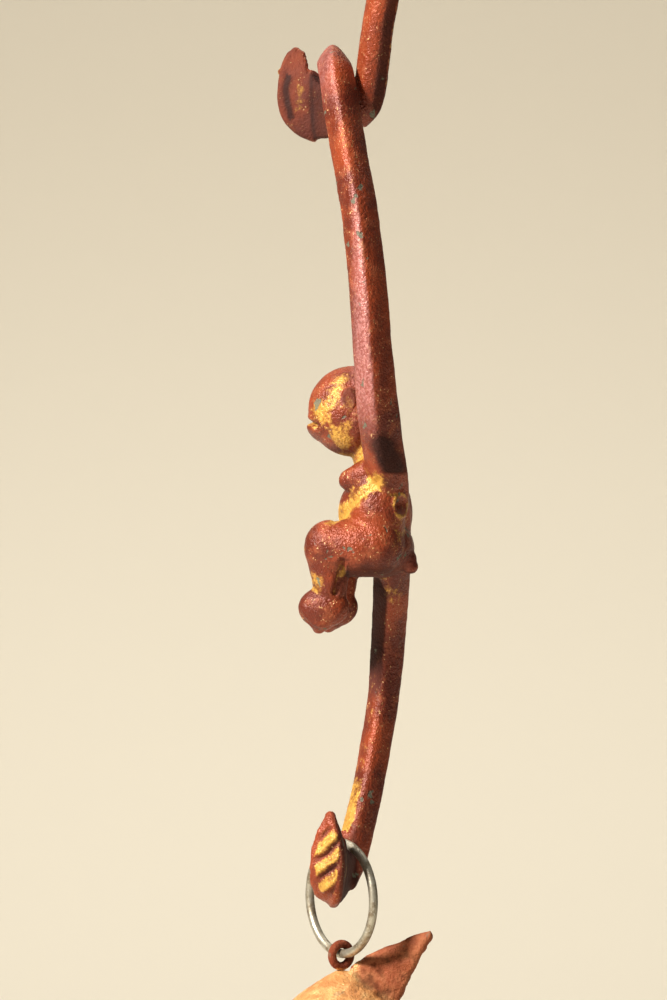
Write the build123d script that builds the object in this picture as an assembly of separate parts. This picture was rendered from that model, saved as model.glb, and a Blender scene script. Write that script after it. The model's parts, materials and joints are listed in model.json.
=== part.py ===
from build123d import *
import os
from math import cos, degrees, radians, sin

# A hanging wind chime of small cast-iron pieces.  From the top: a steel ring to hang it by, two
# alike links, each a vine with a seated monkey, a steel ring, a cast bell with a leaf on its
# crown, a clapper on a wire inside the bell, and a cast leaf below it that catches the wind.
#
# Millimetres, +Z up.  The origin is the inside top of the hanging ring, where a hook holds it.
# A link has its own frame: its origin is where its top hook rests, X runs along the plane of
# its S-shaped vine, and the monkey faces -Y.

# Wire rings
RING_WIRE = 0.63              # radius of the wire
RING_INSIDE = 7.1             # inner radius of the two large rings
RING_CENTRE = RING_INSIDE + RING_WIRE
PLAY = 0.12                   # free play where a ring or a wire hangs on another piece
HOOK_PLAY = 0.3               # free play of a vine's hook in the notch above it

# Monkey link: one casting with a vine, a seated monkey and a hooked foot that ends in a leaf
STEM = 2.45                   # radius of the vine
KNOT = 0.03                   # how far a knot stands out of the vine
HOOK_INSIDE = 4.2             # inner radius of the hook at the top of the vine
HOOK_END = -7.6               # Z of the middle of the hook's round end
UPPER_YAW = -110              # the upper link hangs turned across the lower one
NOTCH = (-0.2, 0.0, -107.4)   # lowest point of the notch in the foot, where the next piece hangs
NOTCH_INSIDE = 4.6            # radius of the notch
EDGE = 1.4                    # radius of the notch's round edge, and half of the foot's thickness
LEAF_TIP = -102.6             # Z of both ends of the leaf
LEAF_LOW = -115.4
LEAF_HALF_THICK = 0.85
LEAF_RIDGE = (8.5, 1.8)       # X and Y of the ridge along which the leaf is folded
LEAF_RIB = 1.0                # radius of that ridge
LEAF_WINGS = ((4.9, -102), (4.6, 179))  # width of each half, and which way it runs from the ridge

# Bell
BELL_RING_TURN = 45           # direction of the lower ring, from +X towards +Y
LOOP_WIRE = 0.58              # radius of the cast loop on the crown
LOOP_INSIDE = 0.97
LOOP_CENTRE = LOOP_INSIDE + LOOP_WIRE
BELL_HEIGHT = 42.0
BELL_MOUTH = 23.0             # outer radius of the rim
BELL_LIP = 1.6                # thickness of the rim
CROWN_WALL = 2.4              # thickness of the bell at its top
CROWN_SINK = 0.3              # how far the cast loop sinks into the crown
FIN_THICK = 1.3               # leaf that stands up from the crown

# Clapper and wind leaf
STAPLE_WIRE = 0.6             # radius of the staple's and the clapper's wire
STAPLE_REACH = 1.9            # half of the staple's width, to the middle of its wire
STAPLE_DROP = 3.2             # from the crown's inner top to the staple's bend
STAPLE_TOP = -1.7             # Z of the ends of the staple's legs, set in the crown's wall
EYE_CENTRE = 1.75             # radius of the eyes of the clapper wire, to the middle of the wire
BALL = 5.6                    # radius of the clapper ball
BALL_DROP = 29.0              # from the clapper's pivot to the ball's centre
ROD_DROP = 43.0               # from the clapper's pivot to the lower eye's centre
SAIL_RING_WIRE = 0.5
SAIL_RING_CENTRE = 3.4
SAIL_THICK = 1.6
SAIL_LENGTH = 50.0
SAIL_STEM = 3.2               # from the hole's centre to the stem's end
SAIL_WIDTH = 31.0
SAIL_HOLE = 1.7
SAIL_PLAY = 0.3               # free play of the wind leaf on its ring


def turned(x, y, yaw):
    """x and y after a turn about Z, in degrees."""
    a = radians(yaw)
    return x * cos(a) - y * sin(a), x * sin(a) + y * cos(a)


# Where each piece hangs, from the top down
HANG_RING = (0.0, 0.0, -RING_INSIDE)
UPPER_PIVOT = (0.0, 0.0, HANG_RING[2] - RING_CENTRE)
UPPER = (0.0, 0.0, UPPER_PIVOT[2] + RING_WIRE + PLAY)
notch_x, notch_y = turned(NOTCH[0], NOTCH[1], UPPER_YAW)
LOWER = (notch_x, notch_y, UPPER[2] + NOTCH[2] + HOOK_PLAY)
LOWER_PIVOT = (LOWER[0], LOWER[1], LOWER[2] - HOOK_PLAY - EDGE)
RING_PIVOT = (LOWER[0] + NOTCH[0], LOWER[1] + NOTCH[1], LOWER[2] + NOTCH[2] - EDGE)
BELL_RING = (RING_PIVOT[0], RING_PIVOT[1], LOWER[2] + NOTCH[2] + PLAY - RING_INSIDE)
BELL_PIVOT = (BELL_RING[0], BELL_RING[1], BELL_RING[2] - RING_CENTRE)
LOOP = (BELL_PIVOT[0], BELL_PIVOT[1], BELL_PIVOT[2] + RING_WIRE + PLAY - LOOP_INSIDE)
CROWN = (LOOP[0], LOOP[1], LOOP[2] - LOOP_CENTRE - CROWN_SINK)
CLAPPER_PIVOT = (CROWN[0], CROWN[1], CROWN[2] - CROWN_WALL - STAPLE_DROP)
UPPER_EYE_Z = CLAPPER_PIVOT[2] - (EYE_CENTRE - 2 * STAPLE_WIRE - PLAY)
LOWER_EYE_Z = CLAPPER_PIVOT[2] - ROD_DROP
SAIL_RING_PIVOT = (CROWN[0], CROWN[1], LOWER_EYE_Z - EYE_CENTRE)
SAIL_RING_Z = SAIL_RING_PIVOT[2] + STAPLE_WIRE + PLAY + SAIL_RING_WIRE - SAIL_RING_CENTRE
SAIL_PIVOT = (CROWN[0], CROWN[1], SAIL_RING_Z - SAIL_RING_CENTRE)
SAIL_HOLE_Z = SAIL_PIVOT[2] + SAIL_RING_WIRE + SAIL_PLAY - SAIL_HOLE


def placed(shape, at, yaw=0):
    """A shape from its own frame, turned about Z and moved to where it hangs."""
    return Pos(*at) * Rot(0, 0, yaw) * shape


def capsule(start, end, radius):
    """A rod with round ends."""
    a, b = Vector(*start), Vector(*end)
    rod = Plane(origin=(a + b) / 2, z_dir=b - a) * Cylinder(radius, (b - a).length)
    return rod + Pos(*start) * Sphere(radius) + Pos(*end) * Sphere(radius)


def ring(centre_radius, wire, turn=0):
    """A closed ring of round wire that stands upright, with its plane along the direction turn."""
    return Rot(0, 0, turn) * Rot(90, 0, 0) * Torus(centre_radius, wire)


def bend(start, middle, end, radius):
    """A round bar along the circular arc through three points."""
    arc = ThreePointArc(start, middle, end)
    section = Plane(origin=arc @ 0, z_dir=arc % 0) * Circle(radius)
    return revolve(section, Axis(arc.arc_center, arc.normal()), degrees(arc.length / arc.radius))


def vine_stem():
    """Round vine: hook, upper bend, crossing behind the monkey, lower bend.  Each arc of it takes
    three of the points, and a slight knot covers each place where two arcs meet."""
    side = HOOK_INSIDE + STEM
    points = (
        (-side, -0.5, -HOOK_INSIDE),
        (0, 0, STEM),
        (side, 1.4, -HOOK_INSIDE),
        (9.8, 3.4, -13.5),
        (12.1, 5.4, -24.5),
        (12.3, 6.4, -36.0),
        (9.4, 7.0, -48.0),
        (4.6, 7.3, -55.3),
        (-1.2, 6.9, -62.5),
        (-6.8, 5.9, -70.0),
        (-10.4, 5.0, -78.5),
        (-10.9, 4.3, -87.0),
        (-9.7, 2.9, -95.0),
        (-8.0, 1.3, -102.0),
        (-6.4, 0.2, -108.2),
    )
    stem = capsule((-side, -0.8, HOOK_END), points[0], STEM)
    for start, middle, end in zip(points[0::2], points[1::2], points[2::2]):
        stem += bend(start, middle, end, STEM)
        stem += Pos(*end) * Sphere(STEM + KNOT)
    return stem + Pos(*points[0]) * Sphere(STEM + KNOT)


def vine_foot():
    """Flat foot below the vine, with a round-edged notch for the next piece."""
    reach = NOTCH_INSIDE + EDGE
    middle = (NOTCH[0], NOTCH[2] + NOTCH_INSIDE)
    notch = CenterArc(middle, reach, 205, 140)
    outer = Spline(notch @ 1, (7.5, -109.0), (4.2, -113.9), (-0.8, -115.2), (-6.2, -112.4), notch @ 0)
    plate = extrude(Plane.XZ * make_face(notch + outer), EDGE, both=True)
    path = Plane.XZ * notch
    section = Plane(origin=path @ 0, z_dir=path % 0) * Circle(EDGE)
    edge = sweep(section, path=path) + Pos(*(path @ 1)) * Sphere(EDGE)
    return Pos(0, NOTCH[1], 0) * (plate + edge)


def vine_leaf():
    """Leaf that rises on the outer side of the foot, folded along an upright ridge."""
    half_height = (LEAF_TIP - LEAF_LOW) / 2
    rib_end = half_height - 2 * LEAF_RIB
    leaf = capsule((0, 0, -rib_end), (0, 0, rib_end), LEAF_RIB)
    for width, turn in LEAF_WINGS:
        side = ThreePointArc((0, half_height), (width, 0), (0, -half_height))
        wing = make_face(side + Line(side @ 1, side @ 0))
        leaf += Rot(0, 0, turn) * extrude(Plane.XZ * wing, LEAF_HALF_THICK, both=True)
    return Pos(*LEAF_RIDGE, LEAF_TIP - half_height) * leaf


def monkey():
    """Seated monkey with its back to the vine, hands at its chest and legs hanging down."""
    figure = Pos(0, 3.0, -46.2) * Sphere(6.1)
    figure += Pos(0, -0.1, -47.3) * Sphere(4.7)
    figure += capsule((0, 4.6, -51.5), (0, 4.8, -58.5), 3.4)
    figure += capsule((0, 4.7, -60.6), (0, 4.7, -66.2), 5.0)
    figure += capsule((0, 8.4, -67.0), (0, 9.5, -68.2), 1.4)
    for side in (-1, 1):
        figure += Pos(side * 6.0, 2.0, -45.2) * Sphere(1.7)
        figure += capsule((side * 3.3, 4.6, -65.6), (side * 4.2, -0.7, -65.4), 3.4)
        figure += capsule((side * 4.2, -0.7, -66.0), (side * 4.3, -0.2, -73.2), 2.3)
        figure += capsule((side * 4.3, -0.4, -73.7), (side * 4.5, -2.9, -74.4), 2.6)
        figure += capsule((side * 4.2, 5.2, -55.6), (side * 3.2, 2.4, -56.1), 1.8)
    return figure


def bell_wall():
    """The bell's wall, turned about its axis.  Its own origin is the top of the crown."""
    outside = ((0, 0), (7.0, -4.6), (11.3, -9.4), (14.2, -17), (16.2, -28), (BELL_MOUTH, -BELL_HEIGHT))
    inside = ((BELL_MOUTH - BELL_LIP, -BELL_HEIGHT), (14.4, -28), (12.4, -17), (9.4, -10.6), (0, -CROWN_WALL))
    outer = Spline(*outside, tangents=[(1, -0.35), (1, -1)])
    inner = Spline(*inside, tangents=[(-1, 1), (-1, 0)])
    half = make_face(outer + Line(outer @ 1, inner @ 0) + inner + Line(inner @ 1, outer @ 0))
    return revolve(Plane.XZ * half, Axis.Z)


def bell_fin():
    """Leaf that stands up from the crown, in a plane through the bell's axis."""
    edge = Spline((1.2, -1.0), (2.6, 0.9), (6.4, 2.8), (12.2, 5.0))
    under = Spline((12.2, 5.0), (9.4, -2.0), (6.6, -8.0))
    blade = make_face(edge + under + Line(under @ 1, edge @ 0))
    return Rot(0, 0, 90) * extrude(Plane.XZ * blade, FIN_THICK / 2, both=True)


def staple_wire():
    """Wire staple under the crown, with both legs set in the wall."""
    bend_z = -CROWN_WALL - STAPLE_DROP
    start = bend_z + STAPLE_REACH
    line = Line((-STAPLE_REACH, STAPLE_TOP), (-STAPLE_REACH, start))
    line += ThreePointArc((-STAPLE_REACH, start), (0, bend_z), (STAPLE_REACH, start))
    line += Line((STAPLE_REACH, start), (STAPLE_REACH, STAPLE_TOP))
    path = Plane.XZ * line
    section = Plane(origin=path @ 0, z_dir=path % 0) * Circle(STAPLE_WIRE)
    return sweep(section, path=path)


def clapper_wire():
    """Straight wire with a closed eye at each end.  Its own origin is the clapper's pivot."""
    upper_eye = Pos(0, 0, UPPER_EYE_Z - CLAPPER_PIVOT[2]) * ring(EYE_CENTRE, STAPLE_WIRE, 90)
    lower_eye = Pos(0, 0, -ROD_DROP) * ring(EYE_CENTRE, STAPLE_WIRE, 90)
    rod_top = UPPER_EYE_Z - CLAPPER_PIVOT[2] - EYE_CENTRE
    rod_low = -ROD_DROP + EYE_CENTRE
    rod = Pos(0, 0, (rod_top + rod_low) / 2) * Cylinder(STAPLE_WIRE, rod_top - rod_low)
    return upper_eye + rod + lower_eye


def clapper_ball():
    """Ball with the clapper's wire through it.  Its own origin is the clapper's pivot."""
    return Pos(0, 0, -BALL_DROP) * (Sphere(BALL) - Cylinder(STAPLE_WIRE, 3 * BALL))


def sail():
    """Flat leaf with a hole at its stem end.  Its own origin is the hole's centre."""
    low = SAIL_STEM - SAIL_LENGTH
    widest = (SAIL_WIDTH / 2, -0.4 * SAIL_LENGTH)
    right = Spline((1.2, SAIL_STEM), (3.4, -3.0), widest, (0, low), tangents=[(1, -0.6), (-0.35, -1)])
    left = mirror(right, about=Plane.YZ)
    blade = make_face(right + left + Line(left @ 0, right @ 0))
    hole = Rot(90, 0, 0) * Cylinder(SAIL_HOLE, 4 * SAIL_THICK)
    return extrude(Plane.XZ * blade, SAIL_THICK / 2, both=True) - hole


def main():
    link = vine_stem() + vine_foot() + vine_leaf() + monkey()
    loop = Pos(0, 0, LOOP[2] - CROWN[2]) * ring(LOOP_CENTRE, LOOP_WIRE, BELL_RING_TURN + 90)
    bell = bell_wall() + bell_fin() + loop - staple_wire()
    nodes = {
        "hanging_ring": placed(ring(RING_CENTRE, RING_WIRE, UPPER_YAW + 90), HANG_RING),
        "upper_monkey_link": placed(link, UPPER, UPPER_YAW),
        "lower_monkey_link": placed(link, LOWER),
        "bell_ring": placed(ring(RING_CENTRE, RING_WIRE, BELL_RING_TURN), BELL_RING),
        "bell": placed(bell, CROWN),
        "clapper_staple": placed(staple_wire(), CROWN),
        "clapper_wire": placed(clapper_wire(), CLAPPER_PIVOT),
        "clapper_ball": placed(clapper_ball(), CLAPPER_PIVOT),
        "wind_leaf_ring": placed(ring(SAIL_RING_CENTRE, SAIL_RING_WIRE), (CROWN[0], CROWN[1], SAIL_RING_Z)),
        "wind_leaf": placed(sail(), (CROWN[0], CROWN[1], SAIL_HOLE_Z), 90),
    }
    os.makedirs("parts", exist_ok=True)
    for name, shape in nodes.items():
        export_step(shape, f"parts/{name}.step")


main()
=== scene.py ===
import bpy
import bmesh
import json
import numpy as np
from math import atan2, cos, pi, radians, sin, sqrt
from mathutils import Matrix, Vector, noise


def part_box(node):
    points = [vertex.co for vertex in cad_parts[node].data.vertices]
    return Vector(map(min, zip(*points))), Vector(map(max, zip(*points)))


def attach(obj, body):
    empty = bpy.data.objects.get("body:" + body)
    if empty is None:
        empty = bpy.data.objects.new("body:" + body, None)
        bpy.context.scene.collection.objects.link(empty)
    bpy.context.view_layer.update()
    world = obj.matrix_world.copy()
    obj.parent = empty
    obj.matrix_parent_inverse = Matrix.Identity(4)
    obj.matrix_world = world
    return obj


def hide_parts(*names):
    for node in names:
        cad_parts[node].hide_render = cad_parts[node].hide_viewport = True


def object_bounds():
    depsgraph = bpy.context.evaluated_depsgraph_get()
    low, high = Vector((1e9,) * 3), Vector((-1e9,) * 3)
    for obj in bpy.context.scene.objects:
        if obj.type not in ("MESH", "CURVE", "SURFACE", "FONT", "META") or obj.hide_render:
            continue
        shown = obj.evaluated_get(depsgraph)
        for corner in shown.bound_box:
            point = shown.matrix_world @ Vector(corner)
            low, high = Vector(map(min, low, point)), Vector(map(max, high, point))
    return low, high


# The looks of a hanging wind chime: two cast vine links with a seated monkey on each, a cast bell with a
# leaf on its crown, a clapper ball and a wind leaf.  These castings are sculpted here in millimetres, each
# in its own frame, and then placed where the CAD model hangs them.  The steel rings and wires are the CAD
# model's own, with a better material.

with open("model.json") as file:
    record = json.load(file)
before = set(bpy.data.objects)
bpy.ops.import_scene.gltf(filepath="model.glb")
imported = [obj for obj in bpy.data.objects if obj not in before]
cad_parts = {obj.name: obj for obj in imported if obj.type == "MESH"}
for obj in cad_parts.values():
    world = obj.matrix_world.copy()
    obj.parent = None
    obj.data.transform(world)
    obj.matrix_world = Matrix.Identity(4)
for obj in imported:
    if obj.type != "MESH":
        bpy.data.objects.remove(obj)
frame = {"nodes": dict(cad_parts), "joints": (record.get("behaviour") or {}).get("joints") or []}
cad_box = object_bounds()

MM = 0.001
STEM = 2.45                    # radius of the vine, as in the CAD model
LINK_VOXEL = 0.27              # fineness of the skins, in millimetres
BELL_VOXEL = 0.36
BALL_VOXEL = 0.4
JOINTS = {joint["name"]: joint for joint in frame["joints"]}


def joint_place(name):
    """Where a joint is, and which way its axis turns about Z."""
    joint = JOINTS[name]
    return Vector(joint["pos_m"]), atan2(joint["axis"][1], joint["axis"][0])


# ---------------------------------------------------------------- mesh building

def smooth_path(points, steps):
    """Catmull-Rom curve through the points."""
    p = [Vector(q) for q in points]
    p = [p[0] * 2 - p[1]] + p + [p[-1] * 2 - p[-2]]
    path = []
    for i in range(1, len(p) - 2):
        for k in range(steps):
            t = k / steps
            a, b, c, d = p[i - 1], p[i], p[i + 1], p[i + 2]
            path.append(0.5 * (2 * b + (c - a) * t + (2 * a - 5 * b + 4 * c - d) * t * t
                               + (3 * b - a - 3 * c + d) * t ** 3))
    return path + [p[-2]]


def values_along(values, count):
    """Numbers spread evenly along a path, with straight changes between them."""
    at = np.linspace(0, len(values) - 1, count)
    return np.interp(at, range(len(values)), values)


def add_tube(bm, path, radii, section, sides=28):
    """A closed tube.  section(angle) scales the radius; angle 0 lies in the casting's parting plane."""
    rings = []
    count = len(path)
    for i, centre in enumerate(path):
        along = (path[min(i + 1, count - 1)] - path[max(i - 1, 0)]).normalized()
        flat = Vector((0, 1, 0)).cross(along).normalized()
        deep = along.cross(flat)
        ring = []
        for k in range(sides):
            angle = 2 * pi * k / sides
            wide, high = section(angle)
            ring.append(bm.verts.new(centre + (flat * wide + deep * high) * radii[i]))
        rings.append(ring)
    for low, high in zip(rings, rings[1:]):
        for k in range(sides):
            bm.faces.new((low[k], low[(k + 1) % sides], high[(k + 1) % sides], high[k]))
    bm.faces.new(list(reversed(rings[0])))
    bm.faces.new(rings[-1])


def round_section(angle):
    return cos(angle), sin(angle)


def vine_section(angle):
    """Drawn to a soft ridge on one side, with a thin flash on the other where the mould parted."""
    wide, high = cos(angle), sin(angle)
    if wide < 0:
        return -1.08 * (1 - abs(high) ** 1.75), high
    return wide * (1 + 0.12 * wide ** 60), high


def add_ball(bm, centre, size, turn=(0, 0, 0)):
    """An ellipsoid: size gives its half axes, turn its rotation in degrees."""
    rotation = Matrix.Identity(4)
    for axis, degrees in zip("XYZ", turn):
        rotation = Matrix.Rotation(radians(degrees), 4, axis) @ rotation
    if not hasattr(size, "__len__"):
        size = (size, size, size)
    place = Matrix.Translation(centre) @ rotation @ Matrix.Diagonal((*size, 1))
    bmesh.ops.create_icosphere(bm, subdivisions=4, radius=1, matrix=place)


def add_limb(bm, points, radii):
    """A soft limb with round ends."""
    path = smooth_path(points, 8)
    sizes = values_along(radii, len(path))
    add_tube(bm, path, sizes, round_section)
    add_ball(bm, path[0], sizes[0])
    add_ball(bm, path[-1], sizes[-1])


def add_blade(bm, rows):
    """A closed sheet.  Each row is a list of (outer, inner) point pairs across the sheet."""
    outer = [[bm.verts.new(pair[0]) for pair in row] for row in rows]
    inner = [[bm.verts.new(pair[1]) for pair in row] for row in rows]
    last = len(rows[0]) - 1
    for a in range(len(rows) - 1):
        for b in range(last):
            bm.faces.new((outer[a][b], outer[a][b + 1], outer[a + 1][b + 1], outer[a + 1][b]))
            bm.faces.new((inner[a][b + 1], inner[a][b], inner[a + 1][b], inner[a + 1][b + 1]))
        bm.faces.new((inner[a][0], outer[a][0], outer[a + 1][0], inner[a + 1][0]))
        bm.faces.new((outer[a][last], inner[a][last], inner[a + 1][last], outer[a + 1][last]))
    for a, sign in ((0, 1), (-1, -1)):
        for b in range(last):
            bm.faces.new((outer[a][b], inner[a][b], inner[a][b + 1], outer[a][b + 1])[::sign])


def to_object(bm, name):
    bmesh.ops.recalc_face_normals(bm, faces=bm.faces)
    mesh = bpy.data.meshes.new(name)
    bm.to_mesh(mesh)
    bm.free()
    obj = bpy.data.objects.new(name, mesh)
    bpy.context.scene.collection.objects.link(obj)
    return obj


def baked(obj):
    """Applies the object's modifiers to its mesh."""
    bpy.context.view_layer.update()
    graph = bpy.context.evaluated_depsgraph_get()
    mesh = bpy.data.meshes.new_from_object(obj.evaluated_get(graph))
    old = obj.data
    obj.modifiers.clear()
    obj.data = mesh
    mesh.name = obj.name
    bpy.data.meshes.remove(old)
    return obj


def fused(obj, voxel, rounds):
    """Melts overlapping shapes into one skin, as metal does when it is cast."""
    remesh = obj.modifiers.new("skin", "REMESH")
    remesh.mode = "VOXEL"
    remesh.voxel_size = voxel
    soft = obj.modifiers.new("soft", "SMOOTH")
    soft.factor = 0.5
    soft.iterations = rounds
    return baked(obj)


def get_points(mesh):
    points = np.empty(len(mesh.vertices) * 3)
    mesh.vertices.foreach_get("co", points)
    return points.reshape(-1, 3)


def get_normals(mesh):
    normals = np.empty(len(mesh.vertices) * 3)
    mesh.vertices.foreach_get("normal", normals)
    return normals.reshape(-1, 3)


def set_points(mesh, points):
    mesh.vertices.foreach_set("co", points.ravel())
    mesh.update()


def relaxed(mesh, points, rounds):
    """The same points after each has moved to the middle of its neighbours, some rounds over."""
    edges = np.empty(len(mesh.edges) * 2, dtype=np.int64)
    mesh.edges.foreach_get("vertices", edges)
    a, b = edges.reshape(-1, 2).T
    count = len(points)
    degree = np.bincount(a, minlength=count) + np.bincount(b, minlength=count)
    for _ in range(rounds):
        total = np.stack([np.bincount(a, points[b, k], count) + np.bincount(b, points[a, k], count)
                          for k in range(3)], axis=1)
        points = 0.3 * points + 0.7 * total / degree[:, None]
    return points


def step(values, low, high):
    """0 below low, 1 above high, and smooth between."""
    t = np.clip((values - low) / (high - low), 0, 1)
    return t * t * (3 - 2 * t)


def blob(points, centre, radius):
    """1 at a centre, falling smoothly to 0 at a radius, or three radii."""
    gap = (points - np.array(centre)) / np.array(radius)
    return 1 - step(np.linalg.norm(gap, axis=1), 0.0, 1.0)


def hump(values, middle, width):
    """1 at a middle value, falling off smoothly on both sides."""
    return np.exp(-((values - middle) / width) ** 2)


def grain(points, size, seed):
    """Smooth noise between -1 and 1, with bumps about this many millimetres apart."""
    shift = Vector((seed * 17.3, seed * 5.1, seed * 9.7))
    return np.array([noise.noise(Vector(p) / size + shift) for p in points])


def store(mesh, name, values):
    """Keeps a number from 0 to 1 at each point, for the material to read."""
    layer = mesh.attributes.new(name, "FLOAT", "POINT")
    layer.data.foreach_set("value", np.clip(values, 0, 1).astype(np.float32))


def hollows(mesh, points, rounds, depth):
    """How far each point lies in a hollow, from 0 to 1."""
    normals = get_normals(mesh)
    height = ((relaxed(mesh, points, rounds) - points) * normals).sum(axis=1)
    return step(height, 0.1 * depth, depth)


def place(obj, origin, yaw):
    """Moves a casting's mesh from its own frame, in millimetres, to where it hangs."""
    obj.data.transform(Matrix.Translation(origin) @ Matrix.Rotation(yaw, 4, "Z") @ Matrix.Scale(MM, 4))
    for polygon in obj.data.polygons:
        polygon.use_smooth = True


# ---------------------------------------------------------------- monkey link

# The link's own frame: X and Z in the casting's parting plane, the hook's crown resting at the origin.
VINE = ((-6.5, -0.6, -5.8), (-6.6, -0.9, -3.9), (-4.8, -0.9, 0.7), (0, -1.1, 2.7), (4.7, 0.1, 0.8),
        (6.9, 1.3, -4.6), (9.2, 2.9, -12), (11.3, 4.6, -20), (12.4, 5.9, -30), (12.0, 6.5, -39),
        (9.6, 6.9, -47.5), (6.4, 7.2, -53), (2.0, 7.3, -58.5), (-3.0, 6.8, -65), (-7.2, 5.9, -71.5),
        (-10.2, 5.0, -78.5), (-10.7, 4.3, -86), (-9.5, 3.4, -93), (-7.5, 2.4, -100), (-6.3, 1.5, -104.5),
        (-5.4, 0.8, -108.0), (-4.4, 0.2, -110.6), (-2.6, 0.0, -112.6))
VINE_RADII = (0.96, 0.96, 0.92, 0.91, 1.0, 1.05, 1.02, 1.05, 1.08, 1.12, 1.2, 1.2, 1.1, 1.08, 1.06,
              1.0, 0.95, 0.93, 0.93, 0.93, 0.93, 0.9, 0.7)
FOOT = (-0.05, -107.8)         # X and Z of the notch's lowest point; the foot lies at Y = 0
NOTCH = 4.9                    # radius of the notch
FOOT_OUTLINE = ((-4.4, -108.6), (-5.6, -109.6), (-5.9, -111.4), (-4.6, -113.1), (-1.4, -114.4),
                (3.2, -114.9), (6.4, -112.8), (7.6, -108.6))
FOOT_MIDDLE = (0, -111.2)
FOOT_HALF_THICK = 1.5
FOOT_ROUNDING = 1.4            # how far the foot's edges draw in at its two faces
LEAF_RIDGE = ((7.6, -0.3, -102.3), (8.3, 0.5, -104.4), (8.5, 1.1, -106.8), (8.5, 1.3, -109.4),
              (7.9, 0.9, -111.8), (6.0, 0.3, -113.7), (3.4, -0.6, -114.9))
LEAF_NEAR = (-0.21, -0.98)     # the leaf's veined half runs this way from the ridge
LEAF_FAR = (-1.0, -0.04)       # and its smooth half this way
NEAR_WIDTHS = (0.4, 2.5, 3.9, 4.3, 4.0, 2.9, 0.5)
FAR_WIDTHS = (1.6, 3.4, 3.8, 4.0, 3.9, 3.2, 1.6)
LEAF_HALF_THICK = 0.75
RIDGE_RADIUS = 0.85            # of the rounded bar along the leaf's ridge
VEIN_GAP = 2.9
VEIN_SLOPE = 0.83
SIDE_X, SIDE_Y = -0.174, 0.985  # direction across the link as seen from its leaf side

# Places on the monkey.  Those off the middle are for the +X side and are mirrored for the other.
HEAD = (0, 1.7, -46.3)
MUZZLE = (0, -1.5, -48.0)
MOUTH = (0, -4.3, -48.0)
EYE = (2.1, -3.4, -44.6)
EAR = (5.3, 2.1, -44.6)
EAR_FACE = (6.0, 2.1, -44.6)
EAR_FACE_SIZE = (1.6, 1.2, 1.9)
BELLY = (0, 4.6, -60.6)
SEAT = (0, 5.6, -65.4)
HAUNCH = (2.9, 5.6, -60.6)
HAND = (2.8, 0.9, -56.4)
HEEL = (3.6, -1.8, -73.7)
SOLE = (3.6, -1.7, -74.5)
TOES = (3.6, -3.8, -76.2)
FINGER_GAP = 1.1
TOE_GAP = 1.25
MOULD_SEAM = 5.2               # X of the seam round each foot
PIT = (5.0, 9.3, -59.5)
PIT_SIZE = (2.4, 0.75, 1.25)

# Where gold paint was left, mirrored across the middle: centre, radii, strength
GOLD_PATCHES = (
    ((4.2, 1.2, -50.6), (4.0, 2.6, 3.6), 1.0),
    ((0, 0.6, -53.4), (5.2, 2.6, 2.6), 0.9),
    ((3.4, 3.8, -53.6), (3.0, 2.2, 3.4), 0.9),
    ((0, -0.4, -60.6), (4.6, 2.2, 2.2), 0.8),
    ((4.6, -0.6, -62.6), (3.2, 3.0, 1.8), 0.5),
    ((4.0, -2.2, -70.0), (4.6, 3.3, 3.0), 1.2),
    ((5.0, -3.4, -65.6), (2.6, 2.6, 3.2), 0.6),
    ((5.6, 1.6, -69.0), (2.2, 1.4, 2.0), 0.6),
    ((4.6, 9.0, -63.4), (4.0, 1.5, 4.0), 0.6),
    ((6.8, 4.6, -49.0), (3.6, 2.2, 5.0), 0.6),
    ((-4.0, 6.6, -72.0), (4.6, 3.6, 3.2), 0.6),
)


def on_side(place, side):
    """The same place on the +X side (1) or the -X side (-1)."""
    return side * place[0], place[1], place[2]


def add_foot(bm):
    """Flat foot with the notch that the next piece hangs in."""
    notch = [(FOOT[0] + NOTCH * cos(radians(a)), FOOT[1] + NOTCH * (1 + sin(radians(a))))
             for a in range(335, 204, -10)]
    outline = [(p.x, p.z) for p in smooth_path([(x, 0, z) for x, z in FOOT_OUTLINE], 6)] + notch
    middle = Vector(FOOT_MIDDLE)
    rows = []
    for depth in (-FOOT_HALF_THICK, -1.3, -0.9, -0.4, 0.4, 0.9, 1.3, FOOT_HALF_THICK):
        inset = FOOT_ROUNDING * (1 - sqrt(1 - (depth / (FOOT_HALF_THICK + 0.01)) ** 2))
        row = []
        for x, z in outline:
            inward = (middle - Vector((x, z))).normalized() * inset
            thinning = 1 - 0.6 * min(max((-111.0 - z) / 4.5, 0), 1)
            row.append(bm.verts.new((x + inward.x, depth * thinning, z + inward.y)))
        rows.append(row)
    count = len(outline)
    for low, high in zip(rows, rows[1:]):
        for k in range(count):
            bm.faces.new((low[k], low[(k + 1) % count], high[(k + 1) % count], high[k]))
    bm.faces.new(list(reversed(rows[0])))
    bm.faces.new(rows[-1])


def add_vine_leaf(bm):
    """Leaf folded along its ridge: a veined half on the outer side and a smooth half beside the notch."""
    ridge = smooth_path(LEAF_RIDGE, 10)
    for direction, widths in ((LEAF_NEAR, NEAR_WIDTHS), (LEAF_FAR, FAR_WIDTHS)):
        run = Vector((*direction, 0))
        face = Vector((0, 0, 1)).cross(run)
        rows = []
        for point, width in zip(ridge, values_along(widths, len(ridge))):
            row = []
            for k in range(9):
                across = width * k / 8
                thick = LEAF_HALF_THICK * (1 - 0.3 * k / 8)
                row.append((point + run * across + face * thick, point + run * across - face * thick))
            rows.append(row)
        add_blade(bm, rows)
    bar = ridge[2:-2]
    add_tube(bm, bar, [RIDGE_RADIUS] * len(bar), round_section, sides=16)
    add_ball(bm, ridge[1] - Vector((0.4, 0, 0)), RIDGE_RADIUS)


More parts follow.
